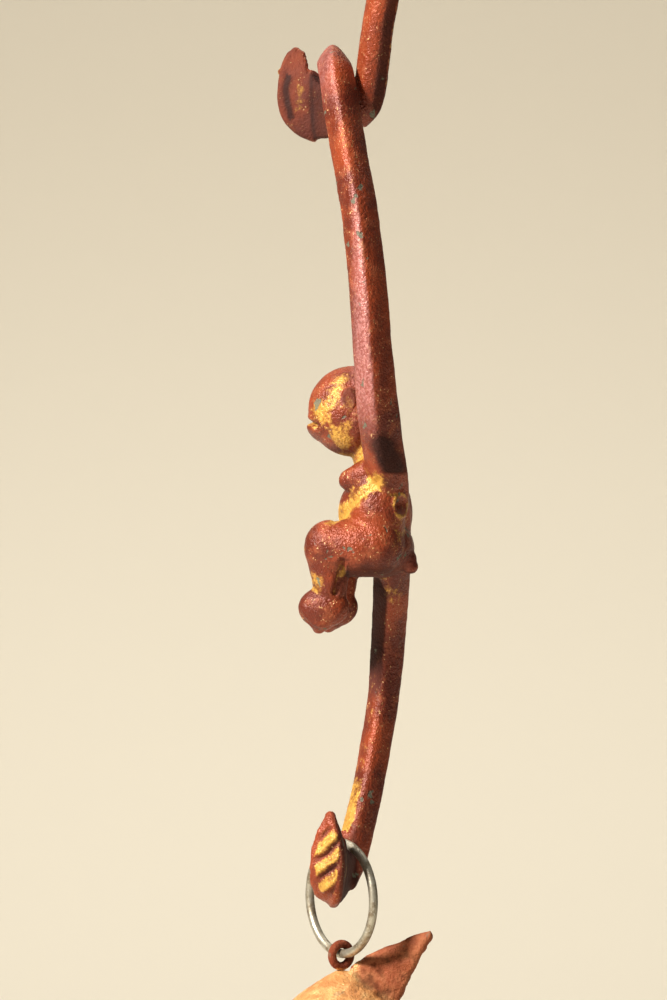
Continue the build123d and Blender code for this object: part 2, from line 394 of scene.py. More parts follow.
def add_monkey(bm):
    """Seated monkey with its back to the vine, hands at its chest and legs hanging down."""
    add_ball(bm, HEAD, (5.7, 6.3, 6.4))
    add_ball(bm, MUZZLE, (4.5, 3.4, 2.9))
    add_limb(bm, ((0, 4.8, -50), (0, 5.2, -54), (0, 5.0, -58)), (3.7, 3.3, 4.2))
    add_ball(bm, BELLY, (5.0, 4.9, 5.6))
    add_ball(bm, SEAT, (5.6, 4.7, 4.2))
    tail = ((0, 7.4, -66.0), (0, 9.2, -67.2), (0, 9.9, -68.0))
    add_limb(bm, tail, (2.6, 1.7, 1.1))
    for side in (-1, 1):
        thigh = ((side * 3.2, 5.0, -65.0), (side * 4.0, 2.4, -65.3), (side * 4.3, -0.7, -65.1))
        shin = ((side * 4.2, -1.0, -65.6), (side * 3.9, -0.9, -69.4), (side * 3.6, -0.9, -72.4))
        toes = ((side * 3.6, -2.1, -74.8), (side * 3.6, -2.5, -76.5))
        arm = ((side * 3.4, 5.0, -54.8), (side * 3.4, 3.2, -55.6), (side * 3.0, 1.75, -56.0))
        add_ball(bm, on_side(EAR, side), (0.7, 0.9, 1.4), (10, 0, 0))
        add_limb(bm, thigh, (4.5, 4.2, 3.6))
        add_ball(bm, on_side(HAUNCH, side), (4.2, 4.0, 6.6))
        add_limb(bm, shin, (3.4, 2.6, 2.1))
        add_ball(bm, on_side(HEEL, side), (2.5, 3.6, 2.9))
        add_limb(bm, toes, (2.2, 0.9))
        add_limb(bm, arm, (2.2, 1.9, 1.55))


def gap_from(points, centre, size):
    """Distance from a centre, as a part of the size there in each direction."""
    return np.linalg.norm((points - np.array(centre)) / np.array(size), axis=1)


def ear_gap(points, side):
    return gap_from(points, on_side(EAR_FACE, side), EAR_FACE_SIZE)


def seen_across(points):
    """Place, or direction, from left to right as seen from the link's leaf side."""
    return points[:, 0] * SIDE_X + points[:, 1] * SIDE_Y


def near_line(points, start, end, width):
    """1 on a line seen along X, falling to 0 at a width.  The line's ends are (Y, Z)."""
    spot = np.stack([points[:, 1], points[:, 2]], axis=1)
    start, end = np.array(start), np.array(end)
    along = end - start
    t = np.clip((spot - start) @ along / (along @ along), 0, 1)
    return 1 - step(np.linalg.norm(spot - start - t[:, None] * along, axis=1), 0.0, width)


def mouth_line(points):
    """Distance above the line of the mouth, and where the mouth is; the line droops towards the cheeks."""
    cut = points[:, 2] + 47.6 + 0.45 * (points[:, 1] + 4.9)
    return cut, step(blob(points, MOUTH, (8.0, 3.4, 2.4)), 0.05, 0.25)


def vein_wave(points, normals):
    """Place between two veins of the leaf, from 0 to 1, and where the leaf's veined face is."""
    outwards = step(normals[:, 0] * -LEAF_NEAR[1] + normals[:, 1] * LEAF_NEAR[0], 0.35, 0.7)
    across = seen_across(points)
    down = -points[:, 2]
    wave = (105.0 - down - VEIN_SLOPE * across) / VEIN_GAP + 0.16 * grain(points, 2.6, 21)
    edge = np.interp(down, (102.5, 105, 108, 112, 114.5, 115.5), (-1.6, -3.3, -4.2, -3.6, -2.4, -0.8))
    ridge = np.interp(down, (102.5, 105, 108, 112, 115.5), (-1.4, 0.2, 0.2, -0.2, -0.7))
    inside = step(across - edge, 0.2, 1.0) * (1 - step(across - ridge, -1.1, -0.3))
    inside = inside * step(down, 103.0, 104.2) * (1 - step(down, 112.4, 113.6))
    return wave - np.floor(wave), inside * outwards * step(points[:, 0], 2.0, 3.5)


def smooth_half(points, normals):
    """1 on the leaf's smooth face, which looks away from the monkey."""
    return step(-points[:, 2], 100.5, 101.5) * step(points[:, 0], 3.4, 4.2) * step(normals[:, 1], 0.3, 0.7)


def shape_link(points, normals):
    """How far the skin moves out for the fine shapes: face, ears, hands, toes, folds, pit and veins."""
    x, _, z = points.T
    push = np.zeros(len(points))
    front = step(-normals[:, 1], -0.35, 0.35)
    cut, mouth = mouth_line(points)
    push -= 0.95 * hump(cut, 0, 0.40) * mouth
    for side in (-1, 1):
        push -= 0.42 * blob(points, on_side(EYE, side), (1.1, 1.6, 0.8)) * front
        gap = ear_gap(points, side)
        push += 0.14 * hump(gap, 0.8, 0.2) - 0.22 * hump(gap, 0, 0.55)
        hand = blob(points, on_side(HAND, side), (2.2, 1.6, 2.0))
        push -= 0.20 * hand * step(np.sin((x - side * HAND[0]) * 2 * pi / FINGER_GAP), 0.3, 1)
        toes = blob(points, on_side(TOES, side), (2.6, 2.4, 1.8))
        push -= 0.28 * toes * step(np.cos((x - side * TOES[0]) * 2 * pi / TOE_GAP), 0.35, 1)
        # rim where the two halves of the mould met, round the sole and the heel
        sole = blob(points, on_side(SOLE, side), (3.6, 5.0, 3.6))
        push += 0.32 * sole * hump(x, side * MOULD_SEAM, 0.3) * (z < -73.5)
        # fold behind the shin
        push -= 0.35 * near_line(points, (1.5, -67.4), (0.2, -71.6), 0.7) * (np.abs(x) > 4.0)
    # fold between belly and thigh
    push -= 0.30 * near_line(points, (0.0, -61.4), (6.4, -56.3), 0.9) * (np.abs(x) > 1.5)
    # small pit with a raised rim, at the near side of the back
    gap = gap_from(points, PIT, PIT_SIZE)
    push += 0.32 * hump(gap, 1.2, 0.35) - 0.85 * hump(gap, 0, 0.75)
    # leaf veins, each with a crease below it
    tooth, inside = vein_wave(points, normals)
    veins = 0.42 * (hump(tooth, 0.08, 0.14) + hump(tooth, 1.08, 0.14))
    push += inside * (veins - 0.36 * hump(tooth, 0.78, 0.16))
    # the cast skin is slightly lumpy, with an orange-peel grain
    lumps = 0.10 * grain(points, 5.0, 1) + 0.04 * grain(points, 1.5, 2) + 0.025 * grain(points, 0.62, 3)
    push += lumps * (1 - 0.35 * smooth_half(points, normals))
    return push


def gold_on_link(points, normals):
    """Gold paint that the maker left on the front and in the folds, beside what lies in hollows, and a
    painted gold highlight down the lower branch.
    """
    x, y, z = points.T
    gold = np.zeros(len(points))
    for centre, radius, strength in GOLD_PATCHES:
        for side in (1, -1):
            gold += strength * blob(points, on_side(centre, side), radius)
    # broad strokes across the face, in the mouth and round the pit
    gold += 0.74 * near_line(points, (1.2, -42.0), (-2.6, -46.6), 2.4) * (np.abs(x) > 1.6) * (z > -50)
    gold += 0.6 * near_line(points, (-2.4, -46.2), (0.6, -50.4), 1.7) * (np.abs(x) > 1.6)
    cut, mouth = mouth_line(points)
    gold += 0.9 * hump(cut, -0.25, 0.35) * mouth
    gold += 0.8 * hump(gap_from(points, PIT, PIT_SIZE), 1.25, 0.3)
    # and along the fold between belly and thigh
    gold += 1.1 * near_line(points, (0.0, -61.0), (6.6, -56.0), 2.0) * (np.abs(x) > 1.0)
    # speckles along the vine's ridge
    ridge = step(normals[:, 0], 0.86, 0.99) * step(z, -56.0, -50.0) * (1 - step(z, -4.0, 2.0))
    gold += 0.40 * ridge
    # gold down the lit front of the lower branch, partly a painted highlight, and a painted bright rim along
    # the mould flash on its far side
    lower = step(-z, 76.0, 84.0) * (1 - step(-z, 107.5, 109.0)) * (x < -4)
    low_end = step(-z, 96.0, 101.0)
    front = hump(normals[:, 1], -0.72, 0.22 + 0.16 * low_end)
    gold += (0.35 + 0.75 * low_end) * lower * front
    gold += 0.8 * lower * step(-normals[:, 0], 0.93, 0.985)
    # bands between the leaf's veins
    tooth, inside = vein_wave(points, normals)
    bands = 0.9 * (hump(tooth, 0.15, 0.25) + hump(tooth, 1.15, 0.25)) + 0.75 * (tooth < 0.6)
    gold += step(inside, 0.0, 0.25) * bands
    # a stripe down the leaf's smooth half
    stripe = (y > 1.6) & (z > -113.5) & (z < -103.0)
    gold += 0.72 * stripe * hump(x + 0.14 * (z + 108.0), 5.3, 0.75)
    return gold


def painted_shade_and_dark_tone_on_link(points, normals):
    """Painted shade, nearly black: deep folds, under the seat and beside the leaf's ridge; the ears get a
    darker tone.
    """
    x, y, z = points.T
    # painted shade above the crease where the vine meets the back, and in the pit
    shadow = step(near_line(points, (7.6, -51.6), (8.6, -54.2), 3.2), 0.1, 0.8) * (x > 2.5)
    painted_shade_and_dark_tone = 0.95 * shadow * step(z, -55.5, -55.0)
    painted_shade_and_dark_tone += 1.0 * step(blob(points, PIT, (2.2, 0.8, 1.2)), 0.05, 0.4)
    # painted shade under the seat and the hands, and down the side of the lower branch turned away from the
    # light
    under = step(-normals[:, 2], 0.45, 0.9)
    painted_shade_and_dark_tone += 0.8 * under * step(-z, 65.5, 67.5) * (1 - step(-z, 71.0, 72.5))
    painted_shade_and_dark_tone += 0.5 * under * step(-z, 50.0, 52.0) * (1 - step(-z, 53.0, 54.5))
    lower = step(-z, 76.0, 84.0) * (x < -4)
    painted_shade_and_dark_tone += 0.75 * lower * step(-normals[:, 0], 0.55, 0.75) * (1 - step(-normals[:, 0], 0.90, 0.96))
    # painted shade beside the leaf's ridge, in the notch, on the leaf's smooth half and in its creases
    beside = np.interp(-z, (102.5, 105, 108, 112, 115.5), (6.2, 7.3, 7.7, 7.0, 3.5))
    painted_shade_and_dark_tone += 0.85 * (y > 1.5) * (z < -102.0) * hump(x, beside, 0.45)
    painted_shade_and_dark_tone += 0.85 * step(-z, 102.0, 103.0) * step(x, -4.0, -3.0) * (1 - step(x, 3.6, 4.4))
    painted_shade_and_dark_tone += 0.55 * smooth_half(points, normals)
    tooth, inside = vein_wave(points, normals)
    painted_shade_and_dark_tone += 0.45 * inside * hump(tooth, 0.80, 0.16)
    # painted shadow of the monkey on the vine's front below the seat, and a darker tone on the ears
    below_seat = step(-z, 68.5, 70.5) * (1 - step(-z, 80.0, 90.0)) * (x < -4)
    painted_shade_and_dark_tone += 0.92 * below_seat * step(-normals[:, 1], -0.05, 0.35)
    for side in (-1, 1):
        painted_shade_and_dark_tone += 0.5 * (1 - step(ear_gap(points, side), 0.6, 1.1))
    # painted shade in the fold behind the shin
    painted_shade_and_dark_tone += 0.5 * near_line(points, (2.2, -67.2), (0.6, -71.8), 0.8) * (np.abs(x) > 4.0)
    return painted_shade_and_dark_tone


def painted_sheen_on_link(points, normals):
    """Painted mauve sheen of reflected light: the vine's face on the monkey's side, and the crown."""
    z = points[:, 2]
    aside = -seen_across(normals)
    vine = step(z, -52.0, -44.0) * step(seen_across(points), 1.0, 2.5) * step(aside, -0.25, 0.1)
    return 0.75 * vine + 0.4 * step(z, -6.0, 0.0) * step(aside, 0.0, 0.5)


def plain_on_link(points):
    """Where no gold stays in the hollows: the foot with its leaf, the ears and the pit."""
    x, _, z = points.T
    plain = step(-z, 99.0, 100.0) * step(x, -3.0, -2.0) + step(-z, 107.0, 108.0)
    plain += blob(points, PIT, (3.0, 1.6, 2.2)) > 0.1
    for side in (-1, 1):
        plain += 1 - step(ear_gap(points, side), 0.9, 1.3)
    return np.clip(plain, 0, 1)


def monkey_link(name, origin, yaw):
    """One casting: vine, monkey, foot and leaf."""
    bm = bmesh.new()
    path = smooth_path(VINE, 9)
    add_tube(bm, path, values_along(VINE_RADII, len(path)) * STEM, vine_section, sides=44)
    add_ball(bm, VINE[0], STEM * 1.02)
    add_foot(bm)
    add_vine_leaf(bm)
    add_monkey(bm)
    obj = fused(to_object(bm, name), LINK_VOXEL, 3)
    mesh = obj.data
    points = get_points(mesh)
    normals = get_normals(mesh)
    points = points + normals * shape_link(points, normals)[:, None]
    set_points(mesh, points)
    hollow = hollows(mesh, points, 40, 0.22) + 0.6 * hollows(mesh, points, 8, 0.05)
    normals = get_normals(mesh)
    store(mesh, "hollow", hollow * (1 - plain_on_link(points)))
    store(mesh, "gold", gold_on_link(points, normals))
    # painted shade, and a darker tone on the ears
    store(mesh, "painted_shade_and_dark_tone", painted_shade_and_dark_tone_on_link(points, normals))
    # painted sheen of reflected light
    store(mesh, "painted_sheen", painted_sheen_on_link(points, normals))
    place(obj, origin, yaw)
    return obj


# ---------------------------------------------------------------- bell, clapper ball, wind leaf

# The bell's own frame: its axis is Z and the top of its crown is the origin.
BELL_OUTSIDE = ((0, 0), (2.6, -1.35), (7.0, -4.6), (11.3, -9.4), (14.2, -17), (16.2, -28), (19.0, -36),
                (22.6, -41.6))
BELL_INSIDE = ((21.4, -42), (17.6, -36.0), (14.6, -28), (12.4, -17), (9.4, -10.6), (5.0, -5.4), (0, -2.5))
BELL_RINGS = ((-36.6, 0.55, 0.7), (-34.4, 0.35, 0.5), (-12.5, 0.3, 0.6))  # height, rise, width
BELL_HEIGHT = 42.0
BELL_LOOP_Z = 1.85             # centre of the cast loop above the crown
BELL_LOOP = 1.55               # radius of the loop, to the middle of its bar
BELL_LOOP_BAR = 0.6
CROWN_LEAF_UPPER = ((1.4, 0.4), (3.6, 1.8), (6.4, 3.1), (9.2, 4.3), (11.6, 5.2), (12.7, 5.5))
CROWN_LEAF_LOWER = ((1.4, -1.7), (3.8, -3.3), (6.8, -5.8), (8.6, -3.8), (11.0, 1.4), (12.9, 4.6))


def turned_profile(bm, profile, sides):
    """A closed shape turned about Z.  The profile's first and last points are on the axis."""
    top = bm.verts.new((0, 0, profile[0][1]))
    low = bm.verts.new((0, 0, profile[-1][1]))
    rings = []
    for radius, z in profile[1:-1]:
        turns = [2 * pi * k / sides for k in range(sides)]
        rings.append([bm.verts.new((radius * cos(turn), radius * sin(turn), z)) for turn in turns])
    for k in range(sides):
        after = (k + 1) % sides
        bm.faces.new((top, rings[0][k], rings[0][after]))
        for upper, lower in zip(rings, rings[1:]):
            bm.faces.new((upper[k], lower[k], lower[after], upper[after]))
        bm.faces.new((low, rings[-1][after], rings[-1][k]))


def add_loop(bm, centre, radius, bar, yaw, sides=40, bar_sides=20):
    """A closed ring of round bar that stands upright, with its plane along yaw."""
    along = Vector((cos(yaw), sin(yaw), 0))
    across = Vector((-sin(yaw), cos(yaw), 0))
    rings = []
    for i in range(sides):
        turn = 2 * pi * i / sides
        out = along * cos(turn) + Vector((0, 0, 1)) * sin(turn)
        middle = Vector(centre) + out * radius
        angles = [2 * pi * k / bar_sides for k in range(bar_sides)]
        rings.append([bm.verts.new(middle + (out * cos(a) + across * sin(a)) * bar) for a in angles])
    for i in range(sides):
        ring, following = rings[i], rings[(i + 1) % sides]
        for k in range(bar_sides):
            after = (k + 1) % bar_sides
            bm.faces.new((ring[k], ring[after], following[after], following[k]))


def add_crown_leaf(bm):
    """Leaf that stands up from the bell's shoulder, towards +Y."""
    upper = smooth_path([(0, y, z) for y, z in CROWN_LEAF_UPPER], 7)
    lower = smooth_path([(0, y, z) for y, z in CROWN_LEAF_LOWER], 7)
    rows = []
    for high, low in zip(upper, lower):
        row = []
        for k in range(15):
            t = k / 14
            point = high.lerp(low, t)
            bow = 0.35 * sin(pi * t)
            thick = 0.62 - 0.12 * abs(2 * t - 1)
            row.append((point + Vector((thick + bow, 0, 0)), point + Vector((bow - thick, 0, 0))))
        rows.append(row)
    add_blade(bm, rows)


def bell(name, origin, loop_yaw):
    """One casting: bell wall with its raised rings, leaf on the crown, and the loop it hangs by."""
    bm = bmesh.new()
    outside = [(p.x, p.z) for p in smooth_path([(x, 0, z) for x, z in BELL_OUTSIDE], 6)]
    inside = [(p.x, p.z) for p in smooth_path([(x, 0, z) for x, z in BELL_INSIDE], 6)]
    turned_profile(bm, outside + inside, 120)
    add_crown_leaf(bm)
    obj = fused(to_object(bm, name), BELL_VOXEL, 3)
    mesh = obj.data
    points = get_points(mesh)
    normals = get_normals(mesh)
    x, y, z = points.T
    radius = np.hypot(x, y)
    outer = step(normals[:, 0] * x + normals[:, 1] * y + 2.0 * normals[:, 2], -0.5, 1.5)
    rough = step(y + 0.15 * z, -3.0, 3.0) * outer
    push = (0.03 + rough * 0.16) * grain(points, 0.95, 5) + 0.05 * grain(points, 2.2, 6)
    push += 0.12 * grain(points, 6.0, 7) + 0.03 * grain(points, 0.6, 8)
    leaf = step(y, 2.5, 6.0) * step(z, -6.5, -3.0)
    push += 0.22 * leaf * grain(points, 2.6, 9)
    for height, rise, width in BELL_RINGS:
        push += outer * (radius > 8) * rise * hump(z, height, width)
    points = points + normals * push[:, None]
    set_points(mesh, points)
    store(mesh, "hollow", hollows(mesh, points, 20, 0.16) + 0.7 * hollows(mesh, points, 5, 0.05))
    store(mesh, "gold", 0.18 + 0.32 * (1 - step(y + 0.2 * z, -5.0, 2.0)) * outer - 0.1 * leaf)
    loop = bmesh.new()
    loop.from_mesh(mesh)
    add_loop(loop, (0, 0, BELL_LOOP_Z), BELL_LOOP, BELL_LOOP_BAR, loop_yaw)
    loop.to_mesh(mesh)
    loop.free()
    points_now = get_points(mesh)
    x, y, z = points_now.T
    on_loop = (np.hypot(x, y) < BELL_LOOP + 2 * BELL_LOOP_BAR) * (z > 0.1) * (y < 1.7)
    on_fin = step(y, 2.0, 3.2) * step(z + 0.55 * y, -1.2, 0.6)
    # painted shade in the valleys of the stipple, stronger on the side away from the light; the loop and the
    # fin get a darker tone
    valley_shade = 0.45 * np.interp(y + 0.15 * z, (-3.0, 3.0), (0.35, 1.0)) * hollows(mesh, points_now, 5, 0.05)
    store(mesh, "red", on_loop + 0.85 * on_fin)
    store(mesh, "painted_shade_and_dark_tone", 0.45 * on_loop + 0.22 * on_fin + valley_shade)
    place(obj, origin, 0)
    return obj


def clapper_ball(name, centre, radius):
    """Cast ball with a faint seam round it."""
    bm = bmesh.new()
    add_ball(bm, (0, 0, 0), radius)
    obj = fused(to_object(bm, name), BALL_VOXEL, 2)
    mesh = obj.data
    points = get_points(mesh)
    seam = 0.18 * hump(points[:, 0], 0, 0.3)
    push = seam + 0.10 * grain(points, 2.5, 11) + 0.04 * grain(points, 0.8, 12) - 0.2
    points = points + get_normals(mesh) * push[:, None]
    set_points(mesh, points)
    store(mesh, "hollow", hollows(mesh, points, 8, 0.06))
    store(mesh, "gold", np.full(len(points), 0.1))
    place(obj, centre, 0)
    return obj


STALK = 1.7                    # half width of the wind leaf's stalk
EYELET = 1.7                   # radius of the hole in it
EYELET_DROP = 3.2              # from the leaf's top down to the hole's centre


def wind_leaf(name, origin, stem, length, width, hole):
    """Cast leaf in the YZ plane with a hole for its ring; its own origin is the hole's centre."""
    bm = bmesh.new()
    rows = []
    count = 90
    for i in range(count + 1):
        t = i / count
        z = stem - length * t
        bulge = sin(pi * min(max((t - 0.10) / 0.90, 0), 1) ** 0.80) ** 0.95
        half = STALK + (width / 2 - STALK) * bulge if t < 0.5 else (width / 2) * bulge
        half = max(half, 0.15) * (1 - 0.35 * max(0, 0.04 - t) / 0.04)
        half += 0.28 * bulge * sin(t * 46)
        row = []
        for k in range(-16, 17):
            s = k / 16
            x = 0.35 - 0.7 * abs(s) * bulge
            thick = 0.55 - 0.12 * abs(s)
            row.append((Vector((x + thick, s * half, z)), Vector((x - thick, s * half, z))))
        rows.append(row)
    add_blade(bm, rows)
    obj = to_object(bm, name)
    drill_mesh = bmesh.new()
    bmesh.ops.create_cone(drill_mesh, cap_ends=True, segments=48, radius1=hole, radius2=hole, depth=8,
                          matrix=Matrix.Rotation(pi / 2, 4, "Y"))
    drill = to_object(drill_mesh, "drill")
    cut = obj.modifiers.new("hole", "BOOLEAN")
    cut.object = drill
    cut.operation = "DIFFERENCE"
    baked(obj)
    bpy.data.objects.remove(drill)
    fused(obj, LINK_VOXEL, 2)
    mesh = obj.data
    points = get_points(mesh)
    normals = get_normals(mesh)
    x, y, z = points.T
    push = 0.5 * hump(y, 0, 0.7) * step(-z, 2.0, 5.0) * (1 - step(-z, 36.0, 45.0))
    wave = (z - 0.9 * np.abs(y)) / 4.6
    tooth = wave - np.floor(wave)
    veins = hump(tooth, 0.5, 0.11) * step(np.abs(y), 0.4, 1.2) * step(-z, 4.5, 8.0)
    push += 0.34 * veins * (1 - step(-z, 38.0, 44.0))
    push *= np.abs(normals[:, 0])
    push += 0.06 * grain(points, 3.0, 13) + 0.035 * grain(points, 0.9, 14) - 0.10
    points = points + normals * push[:, None]
    set_points(mesh, points)
    store(mesh, "hollow", hollows(mesh, points, 10, 0.12))
    store(mesh, "gold", 0.35 * (1 - step(np.abs(y), 0.0, 9.0)))
    place(obj, origin, 0)
    return obj


# ---------------------------------------------------------------- materials

class Paint:
    """A short way to write a material's nodes."""

    def __init__(self, name):
        self.material = bpy.data.materials.new(name)
        self.material.use_nodes = True
        self.tree = self.material.node_tree
        self.tree.nodes.clear()
        self.shader = self.tree.nodes.new("ShaderNodeBsdfPrincipled")
        output = self.tree.nodes.new("ShaderNodeOutputMaterial")
        self.join(self.shader.outputs[0], output.inputs[0])
        self.place = self.tree.nodes.new("ShaderNodeTexCoord").outputs["Object"]

    def join(self, a, b):
        self.tree.links.new(a, b)

    def feed(self, socket, value):
        if isinstance(value, bpy.types.NodeSocket):
            self.join(value, socket)
        else:
            socket.default_value = value

    def noise(self, size, detail=3.0, rough=0.55):
        """Smooth noise with features about this many millimetres across."""
        node = self.tree.nodes.new("ShaderNodeTexNoise")
        node.inputs["Scale"].default_value = 1000.0 / size
        node.inputs["Detail"].default_value = detail
        node.inputs["Roughness"].default_value = rough
        self.join(self.place, node.inputs["Vector"])
        return node.outputs["Fac"]

    def attribute(self, name):
        """What was stored at each point under this name, or 0 where nothing was."""
        node = self.tree.nodes.new("ShaderNodeAttribute")
        node.attribute_name = name
        return node.outputs["Fac"]

    def window(self, value, low, high, out_low=0.0, out_high=1.0):
        """Goes smoothly from out_low to out_high as the value goes from low to high."""
        node = self.tree.nodes.new("ShaderNodeMapRange")
        node.interpolation_type = "SMOOTHSTEP"
        for socket, number in zip(node.inputs[1:5], (low, high, out_low, out_high)):
            socket.default_value = number
        self.feed(node.inputs[0], value)
        return node.outputs[0]

    def math(self, operation, a, b):
        node = self.tree.nodes.new("ShaderNodeMath")
        node.operation = operation
        self.feed(node.inputs[0], a)
        self.feed(node.inputs[1], b)
        return node.outputs[0]

    def mix(self, factor, a, b):
        node = self.tree.nodes.new("ShaderNodeMix")
        node.data_type = "RGBA"
        self.feed(node.inputs[0], factor)
        for socket, value in ((node.inputs[6], a), (node.inputs[7], b)):
            self.feed(socket, value if isinstance(value, bpy.types.NodeSocket) else (*value, 1))
        return node.outputs[2]

    def bump(self, height, depth, below=None):
        """A bump this many millimetres deep."""
        node = self.tree.nodes.new("ShaderNodeBump")
        node.inputs["Distance"].default_value = depth * MM
        self.join(height, node.inputs["Height"])
        if below:
            self.join(below, node.inputs["Normal"])
        return node.outputs[0]


DEEP_RED = (0.115, 0.016, 0.006)
RED = (0.26, 0.043, 0.012)
RED_BLUSH = (0.36, 0.095, 0.038)
GOLD = (0.60, 0.315, 0.055)
# near-black for painted shade and darker tone
NEAR_BLACK = [c * 0.22 for c in DEEP_RED]
OCHRE_BROWN = (0.46, 0.19, 0.06)
OCHRE = (0.68, 0.36, 0.13)
PALE_OCHRE = (0.76, 0.46, 0.20)
BELL_GOLD = (0.80, 0.50, 0.19)
# mauve of the painted sheen
SHEEN_MAUVE = (0.27, 0.085, 0.075)
SHEEN_PALE_MAUVE = (0.46, 0.20, 0.19)
FLECK = (0.80, 0.52, 0.24)
WORN_IRON = (0.115, 0.12, 0.085)
STEEL = (0.42, 0.39, 0.31)
TARNISH = (0.20, 0.155, 0.10)
BRIGHT_STEEL = (0.48, 0.46, 0.41)
PALE_FLOOR = (0.82, 0.765, 0.65)
SHADED_WALL_COLOUR = (0.50, 0.455, 0.375)


def cast_paint(name, deep, red, blush, gold, chips, gold_gain):
    """Red-brown copper paint over cast iron, with gold in the hollows, flecks and worn chips; plus painted
    mauve sheen and near-black painted shade.
    """
    paint = Paint(name)
    broad = paint.noise(6.0, 4.0)
    patch = paint.noise(1.7, 4.0, 0.65)
    fine = paint.noise(0.42, 2.0, 0.6)
    colour = paint.mix(paint.window(broad, 0.36, 0.64), deep, red)
    colour = paint.mix(paint.math("MULTIPLY", paint.window(patch, 0.48, 0.74), 0.55), colour, blush)
    # gold, with a ragged edge
    hollow = paint.math("MULTIPLY", paint.attribute("hollow"), 0.45)
    wanted = paint.math("MULTIPLY", paint.math("ADD", paint.attribute("gold"), hollow), gold_gain)
    ragged = paint.math("ADD", paint.math("MULTIPLY", paint.window(patch, 0.25, 0.75), 0.42),
                        paint.math("MULTIPLY", fine, 0.58))
    gilt = paint.window(paint.math("ADD", wanted, ragged), 0.74, 1.22)
    shade = paint.mix(paint.window(fine, 0.35, 0.7), [c * 0.72 for c in gold], gold)
    colour = paint.mix(gilt, colour, shade)
    # flecks, in clusters
    speck = paint.window(paint.noise(0.30, 1.0), 0.655, 0.72)
    speck = paint.math("MULTIPLY", speck, paint.window(patch, 0.45, 0.62))
    colour = paint.mix(paint.math("MULTIPLY", speck, 0.75), colour, FLECK)
    # plain red, painted mauve sheen, and near-black for painted shade and darker tone
    plain_red = paint.mix(paint.window(patch, 0.4, 0.65), RED, RED_BLUSH)
    colour = paint.mix(paint.attribute("red"), colour, plain_red)
    painted_sheen = paint.mix(paint.window(fine, 0.40, 0.62), SHEEN_MAUVE, SHEEN_PALE_MAUVE)
    colour = paint.mix(paint.attribute("painted_sheen"), colour, painted_sheen)
    # near-black painted shade, and a darker tone on the ears, the bell's loop and its fin
    colour = paint.mix(paint.attribute("painted_shade_and_dark_tone"), colour, NEAR_BLACK)
    # chips down to the iron
    wear = paint.math("MULTIPLY", paint.window(paint.noise(2.9, 3.0, 0.6), 0.645, 0.69), chips)
    colour = paint.mix(wear, colour, WORN_IRON)
    paint.join(colour, paint.shader.inputs["Base Color"])
    rough = paint.window(patch, 0.25, 0.8, 0.35, 0.52)
    matt_red = paint.math("MULTIPLY", paint.attribute("red"), 0.22)
    matt_dark = paint.window(paint.attribute("painted_shade_and_dark_tone"), 0.0, 0.7, 0.0, 0.45)
    for matt in (paint.math("MULTIPLY", wear, 0.25), matt_red, matt_dark):
        rough = paint.math("ADD", rough, matt)
    paint.join(rough, paint.shader.inputs["Roughness"])
    metal = paint.window(paint.attribute("painted_shade_and_dark_tone"), 0.0, 0.6, 0.18, 0.0)
    paint.join(metal, paint.shader.inputs["Metallic"])
    paint.shader.inputs["Specular IOR Level"].default_value = 0.35
    grainy = paint.bump(fine, 0.22)
    grainy = paint.bump(patch, 0.11, grainy)
    chipped = paint.bump(paint.math("SUBTRACT", 1.0, wear), 0.06, grainy)
    paint.join(chipped, paint.shader.inputs["Normal"])
    return paint.material


def steel_wire(name):
    """Dull bare steel wire with brown tarnish and small brighter specks."""
    paint = Paint(name)
    tarnish = paint.noise(1.9, 4.0, 0.65)
    fine = paint.noise(0.35, 2.0)
    colour = paint.mix(paint.window(tarnish, 0.42, 0.68), STEEL, TARNISH)
    colour = paint.mix(paint.window(fine, 0.60, 0.72), colour, BRIGHT_STEEL)
    paint.join(colour, paint.shader.inputs["Base Color"])
    paint.join(paint.window(tarnish, 0.3, 0.8, 0.36, 0.60), paint.shader.inputs["Roughness"])
    paint.shader.inputs["Metallic"].default_value = 0.75
    paint.join(paint.bump(fine, 0.04), paint.shader.inputs["Normal"])
    return paint.material


# ---------------------------------------------------------------- the object

def link_origin(node, joint):
    """Where a link's hook rests: below the joint's axis in plan, under the hook's own thickness."""
    pivot, _ = joint_place(joint)
    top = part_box(node)[1][2]
    return Vector((pivot.x, pivot.y, top - 2 * STEM * MM))


def middle_of(node):
    low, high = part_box(node)
    return (Vector(low) + Vector(high)) / 2


_, upper_yaw = joint_place("lower_link_swing")
upper_origin = link_origin("upper_monkey_link", "upper_link_swing")
lower_origin = link_origin("lower_monkey_link", "lower_link_swing")
upper_link = monkey_link("upper_monkey_skin", upper_origin, upper_yaw)
lower_link = monkey_link("lower_monkey_skin", lower_origin, 0.0)

bell_pivot, ring_yaw = joint_place("bell_swing")
bell_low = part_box("bell")[0]
bell_origin = Vector((bell_pivot.x, bell_pivot.y, bell_low[2] + BELL_HEIGHT * MM))
bell_skin = bell("bell_skin", bell_origin, ring_yaw + pi / 2)

ball_low, ball_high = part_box("clapper_ball")
ball_radius = (ball_high[0] - ball_low[0]) / 2 / MM
ball_skin = clapper_ball("clapper_ball_skin", middle_of("clapper_ball"), ball_radius)

leaf_low, leaf_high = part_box("wind_leaf")
leaf_middle = middle_of("wind_leaf")
leaf_origin = Vector((leaf_middle.x, leaf_middle.y, leaf_high[2] - EYELET_DROP * MM))
leaf_length = (leaf_high[2] - leaf_low[2]) / MM
leaf_width = 0.96 * (leaf_high[1] - leaf_low[1]) / MM
leaf_skin = wind_leaf("wind_leaf_skin", leaf_origin, EYELET_DROP, leaf_length, leaf_width, EYELET)

